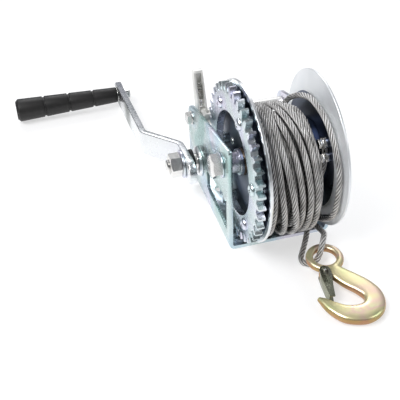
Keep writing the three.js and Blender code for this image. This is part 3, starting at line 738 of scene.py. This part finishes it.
def sag(angles):
    """Radius of the pack's outer layer round the drum: tight over the top, hanging at the front."""
    around = [0, 30, 53, 75, 90, 135, 180, 215, 240, 270, 300, 330, 360]
    radius = [41.5, 38.2, 37.6, 39.6, 41.6, 46.4, 51.4, 56.8, 60.8, 61.2, 57.5, 49, 41.5]
    return np.interp(np.mod(angles, 360), around, radius)


def under_targets():
    """The same for the layer below: even turns, a layer deeper, with a slight waver."""
    turns, first, pitch = 8, 24.4, 4.7
    top = TURN_ANGLES[0]
    wanted = np.arange(top, top + 360 * turns, BIN)
    x = first + pitch * ((wanted - top) / 360)
    return wanted, x, sag(wanted) - 7.5 + 0.5 * np.sin(np.radians(wanted * 0.7))


def settle(layers):
    """Pushes turns apart wherever two would share the same space, keeping each rope smooth.

    A layer is its angles, x and radii. Each round pushes neighbours in the same BIN apart, smooths
    every rope along itself, and draws it a little way back to where it was wanted.
    """
    rounds, closest, strength, pull = 60, ROPE_DIAMETER * 0.97, 0.7, 0.07
    angles = [layer[0] for layer in layers]
    x = np.concatenate([layer[1] for layer in layers])
    r = np.concatenate([layer[2] for layer in layers])
    target = np.stack([x, r], 1)
    bins = np.concatenate([np.round(a / BIN).astype(int) % (360 // BIN) for a in angles])
    ends = np.cumsum([len(a) for a in angles])[:-1]
    place = target.copy()
    for _ in range(rounds):
        for where in range(360 // BIN):
            members = np.nonzero(bins == where)[0]
            gap = place[members][:, None] - place[members][None]
            distance = np.linalg.norm(gap, axis=2) + np.eye(len(members)) * 99
            push = np.clip(closest - distance, 0, None) / 2
            place[members] += (gap / np.maximum(distance, 1e-6)[..., None]
                               * push[..., None]).sum(1) * strength
        for part in np.split(place, ends):
            part[1:-1] = 0.5 * part[1:-1] + 0.25 * (part[:-2] + part[2:])
        place = place * (1 - pull) + target * pull
        place[:, 0] = np.clip(place[:, 0], *PACK_X)
        place[:, 1] = np.clip(place[:, 1], *PACK_RADIUS)
    return [(a, part[:, 0], part[:, 1]) for a, part in zip(angles, np.split(place, ends))]


def on_drum(angle, x, radius):
    """The point at an angle in degrees round the axle, from the rear and over the top."""
    a = math.radians(angle)
    return (x, AXLE[0] + radius * math.cos(a), AXLE[1] + radius * math.sin(a))


def add_winding():
    top, under = settle([winding_targets(), under_targets()])
    path = [on_drum(*row) for row in zip(*top)]
    last = 360 * (len(OUTER_TURNS) - 1)
    # Out of the pack, loosely round beside the right flange, and back into the pack.
    loose = [(300, 61.2, 54), (330, 61.0, 47.5), (360, 61.2, 42.5), (385, 62.2, 41.0),
             (405, 64.4, 42.0), (420, 67.0, 43.6), (440, 70.6, 45.6), (460, 72.2, 48.4),
             (490, 73.4, 53.2), (525, 74.8, 57.0), (560, 75.0, 58.0), (583, 75.0, 58.0),
             (615, 74.6, 57.6), (650, 73.0, 55.5), (680, 71.0, 52.0), (710, 69.0, 47.6),
             (740, 66.0, 43.0), (770, 62.0, 39.5)]
    path += [on_drum(last + angle, x, radius) for angle, x, radius in loose]
    rope_piece("rope_winding", path, 2.0, "drum", ["rope_wraps", "rope_outer_turn"])
    # The layer below, in the darker copy of the rope: painted shade.
    rope_piece("rope_winding_under", [on_drum(*row) for row in zip(*under)], 2.6, "drum",
               around=4, paint=WIRE_UNDER_SHADED)
    # The rope's inner end, from the clamp on the flange down to the drum's core.
    end = [(136, 72.2, 40.0), (150, 72.2, 37.9), (165, 71.7, 36.0), (185, 69.6, 34.0),
           (205, 66.8, 31.8), (225, 63.6, 30.2)]
    rope_piece("rope_anchored_end", [on_drum(*row) for row in end], 1.2, "drum")
    inner = rounded([(22.0, 28, 0), (22.0, 32.0, 1), (62.4, 32.0, 1), (62.4, 28, 0)])
    piece("rope_winding_core", turned(inner, AXLE, 96), WIRE_SHADE, "drum")


add_winding()


# ---- Frame, axle and sleeves
def add_frame():
    refined("frame", 0.45, PLATE_ZINC, "frame")
    right = FRAME_WIDTH
    head = hexagon(-8.6, -1.6, 17.6, AXLE, turn=math.radians(14))
    shank = [(-2.6, 0), (-2.6, AXLE_BOLT), (right + 12.4, AXLE_BOLT)]
    shank += thread(right + 12.6, right + 15.2, AXLE_BOLT, 0.9)
    shank += [(right + 16, 4.9), (right + 16, 0)]
    piece("axle_bolt_fine", merged(head, turned(shank, AXLE)), BRIGHT, "frame",
          ["axle_bolt"])
    piece("axle_head_washer_fine", turned(collar(-1.5, -0.1, 10.4, AXLE_HOLE), AXLE, 96), ZINC,
          "frame", ["axle_head_washer"])
    washer = collar(right + 0.1, right + 2.3, 12, AXLE_HOLE)
    piece("axle_nut_washer_fine", turned(washer, AXLE, 96), BRIGHT, "frame",
          ["axle_nut_washer"])
    nut = hexagon(right + 12.6, right + 2.6, 19.0, AXLE, AXLE_BOLT + 0.3, both=True)
    piece("axle_nut_fine", nut, BRIGHT, "frame", ["axle_nut"])
    start = SHEET + 0.1
    sleeve = rounded([
        (start, AXLE_HOLE, 0.2), (start, 8.6, 0.3), (13.2, 8.6, 0.3), (13.2, 10.6, 0.5),
        (16.4, 10.6, 0.4), (16.4, AXLE_HOLE, 0.2)], 3)
    piece("axle_sleeve_left_fine", turned(sleeve, AXLE), ZINC, "frame",
          ["axle_sleeve_left"])
    piece("axle_sleeve_right_fine", turned(collar(79.8, right - start, 9, AXLE_HOLE), AXLE),
          ZINC, "frame", ["axle_sleeve_right"])


# ---- Drum
def involute(angle):
    return math.tan(angle) - angle


def gear_outline(centre, teeth, tip, root, phase, flank_steps=3):
    """A spur gear's outline in Y-Z, with the middle of a tooth at the phase angle."""
    pitch = teeth * MODULE / 2
    base = pitch * math.cos(PRESSURE_ANGLE)
    play = 0.25
    half_pitch = math.pi / (2 * teeth) - play / pitch

    def half(radius):
        pressure = math.acos(min(1.0, base / radius))
        return half_pitch + involute(PRESSURE_ANGLE) - involute(pressure)

    start = max(root, base)
    radii = [root] * (root < base) + [start + (tip - start) * k / flank_steps
                                      for k in range(flank_steps + 1)]
    points = []
    for tooth in range(teeth):
        middle = phase + 2 * math.pi * tooth / teeth
        flanks = [(r, middle - half(r)) for r in radii]
        flanks += [(r, middle + half(r)) for r in reversed(radii)]
        points += [(centre[0] + r * math.cos(a), centre[1] + r * math.sin(a))
                   for r, a in flanks]
    return points


MESH_ANGLE = math.atan2(CRANK[1] - AXLE[1], CRANK[0] - AXLE[0])
RIVET_ANGLES = [math.radians(51.5 + 60 * k) for k in range(6)]
RIVET_CIRCLE = 49


def circle_at(centre, radius, count=96):
    return [(centre[0] + radius * c, centre[1] + radius * s) for c, s in circle_points(count)]


def polar(centre, radius, angle):
    return centre[0] + radius * math.cos(angle), centre[1] + radius * math.sin(angle)


def add_drum():
    gear_face, gear_back = 9.1, 15.1
    flange_face, flange_back, flange_radius = 17.8, 20.0, 65.0
    bush, bush_bore = 10.9, 6.4
    outline = gear_outline(AXLE, GEAR_TEETH, 64.4, 57.8, MESH_ANGLE)
    window = circle_at(AXLE, 42.0, 128)
    piece("ring_gear_fine", plate(outline, [window], gear_face, gear_back), ZINC, "drum",
          ["ring_gear"])
    # The left flange's face is drawn near black as painted shade and reflection; its rim is a
    # separate pale ring.
    disc = rounded([
        (flange_face, 11.2, 0.3), (flange_face, flange_radius, 0.1),
        (flange_back, flange_radius, 0.1), (flange_back, 11.2, 0.3)], 3)
    piece("left_flange_fine", turned(disc, AXLE, 160), SHADED_ZINC, "drum",
          ["left_flange"])
    rim = rounded([(17.7, 62.0, 0), (17.7, 65.5, 0.4), (20.1, 65.5, 0.4), (20.1, 62.0, 0)], 3)
    piece("left_flange_rim", turned(rim, AXLE, 160), PALE_ZINC, "drum")
    # From the dimple in its round head, through gear, collar and flange, to the flattened end.
    profile = [(8.0, 0), (8.0, 1.5), (7.0, 2.1), (6.8, 2.7), (7.1, 3.5), (7.7, 4.3), (8.4, 4.8),
               (9.0, 5.0), (9.0, 3), (15.2, 3), (15.2, 5), (17.7, 5), (17.7, 3), (20.1, 3),
               (20.1, 4), (20.9, 3.6), (21.0, 0)]
    for index, angle in enumerate(RIVET_ANGLES):
        rivet = f"gear_rivet_{index + 1}"
        piece(rivet + "_fine", turned(profile, polar(AXLE, RIVET_CIRCLE, angle), 32), ZINC,
              "drum", [rivet], 50.0)
    eyelet = [(17.0, 1.1), (16.9, 1.9), (17.2, 2.6), (17.85, 2.9), (18.6, 2.6), (18.6, 1.1)]
    piece("flange_eyelet", turned(eyelet, polar(AXLE, 26, math.radians(7)), 32), BRIGHT, "drum",
          (), 50.0)
    shell = rounded([
        (74.8, 47.0, 0), (74.8, 50, 0), (79.2, 62, 2.2), (79.6, 64, 0.8), (81.8, 63.6, 0.8),
        (81.2, 61.2, 2.0), (77.2, 49, 4), (77.0, 47.0, 0)], 6)
    # The right flange's flat web is drawn near black, as painted shade and reflection.
    web = [(74.8, 11.2), (74.8, 47.05), (77.0, 47.05), (77.0, 11.2)]
    piece("right_flange_fine", turned(shell, AXLE, 160), FLANGE_ZINC, "drum",
          ["right_flange"], 50.0)
    piece("right_flange_web", turned(web, AXLE, 160), SHADED_ZINC, "drum")
    # The drum's core is drawn near black too, as painted shade.
    piece("drum_core_fine", turned(collar(20.1, 74.7, 27, 24.5), AXLE, 96), SHADED_ZINC, "drum",
          ["drum_core"])
    for bush_name, start, end in [("drum_bush_left", 16.6, 36), ("drum_bush_right", 60, 79.5)]:
        piece(bush_name + "_fine", turned(collar(start, end, bush, bush_bore), AXLE), BRONZE,
              "drum", [bush_name])
    for node, width in [("rope_clamp", 0.5), ("clamp_screw_1", 0.3), ("clamp_screw_2", 0.3)]:
        refined(node, width, BRIGHT, "drum")


# ---- Crank
def arm_section(stations):
    """Rings of the arm's rounded section along (x, reach, turn, share of width) stations."""
    a, b = ARM_THICKNESS / 2, ARM_WIDTH / 2
    outline = rounded([(-a, -b, 1.0), (a, -b, 1.0), (a, b, 1.0), (-a, b, 1.0)], 3)
    return [[(x + out * math.cos(turn), CRANK[0] + reach + out * math.sin(turn),
              CRANK[1] + up * share) for out, up in outline]
            for x, reach, turn, share in stations]


def arm_stations():
    """Along the arm: a round end, the bend outwards, the bend back, and the other round end."""
    inner_x, outer_x, start, end, radius = -12.0, -38.0, 20.0, 55.0, 11.0
    end_steps, bend_steps, narrowest = 12, 8, 0.06
    slope = math.atan2(inner_x - outer_x, end - start)
    reach = radius * math.tan(slope / 2)
    half = ARM_WIDTH / 2
    stations = []
    for k in range(end_steps + 1):
        a = math.pi / 2 * (1 - k / end_steps)
        stations.append((inner_x, -ARM_FRONT - half * math.sin(a), 0.0,
                         max(narrowest, math.cos(a))))
    for k in range(bend_steps + 1):
        a = slope * k / bend_steps
        stations.append((inner_x - radius + radius * math.cos(a),
                         start - reach + radius * math.sin(a), a, 1.0))
    for k in range(bend_steps + 1):
        a = slope * (1 - k / bend_steps)
        stations.append((outer_x + radius - radius * math.cos(a),
                         end + reach - radius * math.sin(a), a, 1.0))
    for k in range(end_steps + 1):
        a = math.pi / 2 * k / end_steps
        stations.append((outer_x, ARM_REACH + ARM_TIP + half * math.sin(a), 0.0,
                         max(narrowest, math.cos(a))))
    return stations


def add_crank():
    right = FRAME_WIDTH
    groove = 5.8
    profile = [(-30, 0), (-30, 4.9)] + thread(-29.4, -9.0, 6.0, 1.2) + rounded([
        (-8.8, 6.0, 0), (-8.8, SHAFT, 0.4), (right + 3.4, SHAFT, 0), (right + 3.4, groove, 0),
        (right + 4.8, groove, 0), (right + 4.8, SHAFT, 0), (right + 7, SHAFT, 0.8),
        (right + 7, 0, 0)], 3)
    piece("crankshaft_fine", turned(profile, CRANK), BRIGHT, "crank",
          ["crankshaft"], 50.0)
    half_tooth = math.pi / PINION_TEETH
    outline = gear_outline(CRANK, PINION_TEETH, 17.6, 11.0, MESH_ANGLE + math.pi + half_tooth, 4)
    piece("pinion_fine", plate(outline, [circle_at(CRANK, 7.2, 48)], 7.9, 16.3, 0.5), BRIGHT,
          "crank", ["pinion"])
    arm = turned_about(loft(arm_section(arm_stations())), CRANK, -ARM_DROOP)
    piece("crank_arm_fine", arm, ARM_ZINC, "crank", ["crank_arm"], 42.0)
    nut = hexagon(-27.4, -17.6, 19.0, CRANK, 6.1, turn=math.radians(-6))
    piece("crank_nut_fine", nut, BRIGHT, "crank", ["crank_nut"])
    piece("crank_washer_fine", turned(collar(-17.3, -15.3, 12.6, 6.4, 0.5), CRANK), ZINC, "crank",
          ["crank_washer"])
    spacer = collar(-8.5, -5.6, 11.6, SHAFT_HOLE, 0.6)
    piece("crank_spacer_fine", turned(spacer, CRANK), BLACK_STEEL, "crank",
          ["crank_spacer"])
    refined("crankshaft_clip", 0.15, SPRING, "crank")
    grip_centre = polar(CRANK, ARM_REACH, -ARM_DROOP)
    bolt = rounded([(-137, 0, 0), (-137, 4, 0.5), (-135.6, 6.4, 0.8), (-130.6, 6.4, 0.3),
                    (-130.6, GRIP_BOLT, 0), (-28.6, GRIP_BOLT, 0)], 3)
    bolt += thread(-28.4, -27.9, GRIP_BOLT, 0.8) + [(-27.6, 3.2), (-27.6, 0)]
    piece("grip_bolt_fine", turned(bolt, grip_centre, 40), BRIGHT, "crank",
          ["grip_bolt"])
    piece("grip_washer_fine", turned(collar(-41.7, -41.1, 7.4, 4.3, 0.15), grip_centre, 40),
          BRIGHT, "crank", ["grip_washer"])
    piece("grip_nut_fine", hexagon(-28.4, -34.7, 13.0, grip_centre, 4.1, turn=0.2), BRIGHT,
          "crank", ["grip_nut"])
    add_grip(grip_centre)
    flange = [(-3, SHAFT_HOLE, 0.4), (-3, 12.0, 1.2), (-1.4, 13.4, 0.6), (-0.1, 13.4, 0.3),
              (-0.1, 10, 0), (5.5, 10, 0.3), (5.5, SHAFT_HOLE, 0.3)]
    mirrored = [(right - x, r, edge) for x, r, edge in reversed(flange)]
    piece("crank_bush_left_fine", turned(rounded(flange, 3), CRANK), PALE_ZINC, "frame",
          ["crank_bush_left"])
    piece("crank_bush_right_fine", turned(rounded(mirrored, 3), CRANK), BRIGHT, "frame",
          ["crank_bush_right"])


def add_grip(centre):
    outer, inner = -143.6, -42.0
    nose, well, mouth, bore = 2.4, 14, 7.4, 4.5
    groove_depth = 1.1

    def radius(x):
        return 11.6 + (7.8 - 11.6) * (x - outer) / (inner - outer)

    profile = [(outer - nose, mouth, 0.5), (outer - nose, 8.8, 0.8),
               (outer + 0.4, radius(outer), 1.2)]
    for x in (-117.4, -92.1, -66.8):
        floor = radius(x) - groove_depth
        profile += [(x - 1.2, radius(x), 0.5), (x - 0.8, floor, 0.2), (x + 0.8, floor, 0.2),
                    (x + 1.2, radius(x), 0.5)]
    profile += [(inner, radius(inner), 0.9), (inner, bore, 0.3), (outer + well, bore, 0),
                (outer + well, mouth, 1.0)]
    piece("grip_fine", turned(rounded(profile, 3), centre, 96), GRIP, "grip",
          ["grip"], 55.0)


# ---- Ratchet
def add_ratchet():
    right = FRAME_WIDTH
    flats = 10.0
    head = hexagon(-5.2, -1.2, flats, PIVOT, turn=0.3)
    shank = [(-1.4, 0), (-1.4, TIE_BOLT), (right + 5.2, TIE_BOLT)]
    shank += thread(right + 5.4, right + 7.4, TIE_BOLT, 0.7) + [(right + 8, 2.3), (right + 8, 0)]
    piece("tie_bolt_fine", merged(head, turned(shank, PIVOT, 40)), BRIGHT, "frame",
          ["tie_bolt"])
    piece("tie_bolt_washer_fine", turned(collar(-1, -0.1, 6.2, 3.3, 0.2), PIVOT, 48), BRIGHT,
          "frame", ["tie_bolt_washer"])
    nut = hexagon(right + 5.3, right + 0.3, flats, PIVOT, TIE_BOLT + 0.1, both=True)
    piece("tie_nut_fine", nut, BRIGHT, "frame", ["tie_nut"])
    inside, hole = SHEET + 0.1, TIE_BOLT + 0.4
    piece("tie_spacer_fine", turned(collar(13.8, right - inside, 5.6, hole), PIVOT, 64),
          LEVER_ZINC, "frame", ["tie_spacer"])
    piece("pawl_spacer_fine", turned(collar(inside, 5.1, 6, hole, 0.2), PIVOT, 48), ZINC,
          "frame", ["pawl_spacer"])
    refined("pawl", 0.5, LEVER_ZINC, "pawl")
    refined("ratchet_lever", 0.35, LEVER_ZINC, "lever")
    refined("lever_plunger", 0.2, BRIGHT, "lever")
    # The spring stands beside the plunger on the lever, which leans forward.
    turns, steps, pitch, radius, wire = 6, 16, 2.1, 1.6, 0.42
    coil = []
    for k in range(turns * steps + 1):
        a = 2 * math.pi * k / steps
        coil.append((9.4 + radius * math.cos(a), -1.2 + radius * math.sin(a),
                     17 + pitch * k / steps))
    lean = math.radians(-18)
    coil = [(x, PIVOT[0] + y * math.cos(lean) - z * math.sin(lean),
             PIVOT[1] + y * math.sin(lean) + z * math.cos(lean)) for x, y, z in coil]
    piece("lever_spring_fine", tube(coil, wire, 10), SPRING, "lever",
          ["lever_spring"], 60.0)


def tube(points, radius, sides):
    """A round wire along the points."""
    return loft([[tuple(point + radius * (normal * c + side * s))
                  for c, s in circle_points(sides)]
                 for point, normal, side in frames_along(np.array(points, float))])


# ---- Hook
def on_hook(x, y, z):
    """A point given from the middle of the hook's eye, in the plane that the hook lies in."""
    c, s = math.cos(HOOK_TILT), math.sin(HOOK_TILT)
    return (HOOK_EYE.x + x, HOOK_EYE.y + y * c - z * s, HOOK_EYE.z + y * s + z * c)


# Along the middle of the hook, from its eye to its point: x, y, half width and half thickness.
HOOK_STATIONS = [
    (0.4, -11, 5.6, 3.2), (2.6, -17.5, 6.8, 3.4), (8.6, -27, 8.0, 3.5), (15.6, -36.8, 7.9, 3.8),
    (19.2, -47.2, 7.6, 4.0), (15.4, -57.4, 8.2, 4.2), (5.6, -61.6, 8.4, 4.3),
    (-6.4, -58.4, 7.6, 4.1), (-14.2, -50.2, 5.4, 3.6), (-18.4, -42.6, 3.2, 2.8),
    (-21.2, -38.4, 1.3, 1.7),
]


def hook_body():
    line, _ = resampled([(x, y, 0) for x, y, _, _ in HOOK_STATIONS], 1.0)
    share = np.linspace(0, 1, len(line))
    known = np.linalg.norm(np.diff([(x, y) for x, y, _, _ in HOOK_STATIONS], axis=0), axis=1)
    known = np.concatenate([[0], np.cumsum(known)]) / known.sum()
    halves = np.interp(share, known, [row[2] for row in HOOK_STATIONS])
    thicks = np.interp(share, known, [row[3] for row in HOOK_STATIONS])
    tangents = np.gradient(line, axis=0)
    rings = []
    for point, tangent, half, thick in zip(line, tangents, halves, thicks):
        along = tangent / np.linalg.norm(tangent)
        across = np.array((-along[1], along[0], 0))
        ring = []
        for c, s in circle_points(32):
            offset = across * half * squared(c, 0.55) + (0, 0, thick * squared(s, 0.6))
            ring.append(on_hook(*(point + offset)))
        rings.append(ring)
    return loft(rings)


def add_hook():
    ring_radius, bar = 12.0, 3.0
    eye = []
    for ca, sa in circle_points(72):
        section = [(ring_radius + bar * squared(cb, 0.7), bar * squared(sb, 0.8))
                   for cb, sb in circle_points(24)]
        eye.append([on_hook(reach * ca, reach * sa, height) for reach, height in section])
    pin, lug_radius, lug_half = (-6.8, -15.8), 4.2, 2.9
    lug = [[on_hook(pin[0] + lug_radius * c, pin[1] + lug_radius * s, z)
            for c, s in circle_points(32)] for z in (-lug_half, lug_half)]
    shape = merged(hook_body(), loft(eye, closed=True), loft(lug))
    mesh = bpy.data.meshes.new("hook_work")
    mesh.from_pydata([at(*v) for v in shape[0]], [], shape[1])
    holder = bpy.data.objects.new("hook_work", mesh)
    scene.collection.objects.link(holder)
    remesh = holder.modifiers.new("weld", "REMESH")
    remesh.mode = "VOXEL"
    remesh.voxel_size = 0.55 * MM
    smooth = holder.modifiers.new("soften", "SMOOTH")
    smooth.factor = 0.5
    smooth.iterations = 10
    dress("hook_fine", baked(holder), YELLOW, "hook", ["hook"], 180.0)
    refined("hook_latch", 0.35, OLIVE, "latch")
    refined("latch_pin", 0.2, BRIGHT, "hook")


# ---- Floor and light
def add_stage():
    mesh = bpy.data.meshes.new("floor")
    half = 6.0
    mesh.from_pydata([(-half, -half, 0), (half, -half, 0), (half, half, 0), (-half, half, 0)],
                     [], [(0, 1, 2, 3)])
    floor = bpy.data.objects.new("floor", mesh)
    floor.location.z = -0.0002  # just under the pieces that lie on it
    scene.collection.objects.link(floor)
    paint, _, shader = new_material("floor")
    shader.inputs["Base Color"].default_value = (0.5, 0.5, 0.505, 1.0)
    shader.inputs["Emission Color"].default_value = (1.0, 1.0, 1.0, 1.0)
    shader.inputs["Emission Strength"].default_value = 0.58
    shader.inputs["Roughness"].default_value = 0.2
    shader.inputs["Specular IOR Level"].default_value = 0.3
    mesh.materials.append(paint)

    world = bpy.data.worlds.new("studio")
    world.use_nodes = True
    scene.world = world
    tree = world.node_tree
    sky = tree.nodes["Background"]
    direction = tree.nodes.new("ShaderNodeTexCoord").outputs["Generated"]
    split = tree.nodes.new("ShaderNodeSeparateXYZ")
    link(tree, direction, split.inputs["Vector"])
    height = ramp_node(tree, split.outputs["Z"], [
        (0.0, (0.30, 0.31, 0.34)), (0.12, (0.16, 0.17, 0.20)), (0.32, (0.40, 0.42, 0.46)),
        (0.62, (0.85, 0.87, 0.92)), (1.0, (0.95, 0.96, 1.0))])
    behind = ramp_node(tree, split.outputs["Y"], [(0.0, (0.35,) * 3), (0.45, WHITE)])
    both = multiplied(tree, height.outputs["Color"], behind.outputs["Color"])
    link(tree, both, sky.inputs["Color"])
    sky.inputs["Strength"].default_value = 0.54

    aim = Vector((0, 0, 0.05))

    def softbox(name, place, width, depth, power):
        data = bpy.data.lights.new(name, "AREA")
        data.shape = "RECTANGLE"
        data.size, data.size_y = width, depth
        data.energy = power
        lamp = bpy.data.objects.new(name, data)
        lamp.location = place
        lamp.rotation_euler = (aim - Vector(place)).to_track_quat("-Z", "Y").to_euler()
        scene.collection.objects.link(lamp)

    softbox("key", (-0.9, -0.3, 1.3), 1.0, 0.8, 20)
    softbox("fill", (1.2, -0.9, 0.9), 0.8, 0.8, 5)
    softbox("back", (0.2, 1.3, 1.1), 1.4, 0.6, 9)


add_frame()
add_drum()
add_crank()
add_ratchet()
add_hook()
add_stage()

scene.view_settings.view_transform = "Standard"
